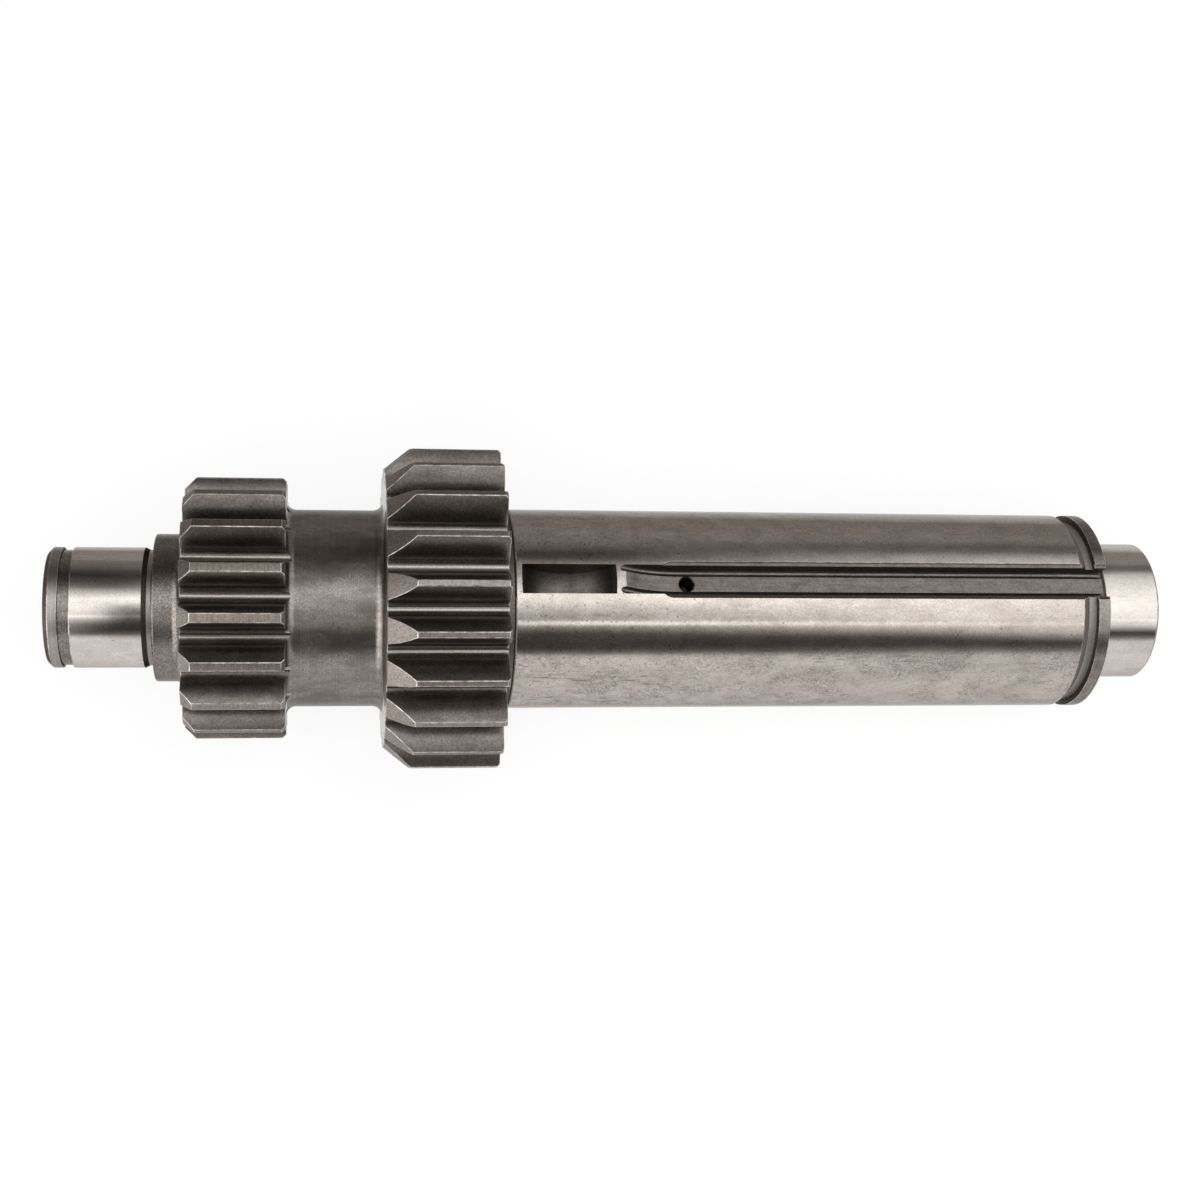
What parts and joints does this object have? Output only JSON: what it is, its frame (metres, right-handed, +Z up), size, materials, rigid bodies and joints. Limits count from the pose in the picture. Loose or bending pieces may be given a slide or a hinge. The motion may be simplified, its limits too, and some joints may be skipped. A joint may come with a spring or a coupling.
{
  "type": "gearbox countershaft",
  "caption": "Gearbox countershaft with two integral spur gears, ground bearing seats, a long keyway, a half-moon key seat and snap ring grooves.",
  "frame": {"origin": "on the shaft's axis, at the middle of the rear bearing seat", "axes": "+X along the shaft towards the keyed end, +Z up; the keyway leans half a tooth of the large gear from +Z towards +Y"},
  "size_m": [0.3551, 0.1026, 0.1022],
  "materials": {
    "steel": "ground seats, turned and machined elsewhere"
  },
  "bodies": {
    "root": {"countershaft": "steel"}
  },
  "joints": []
}
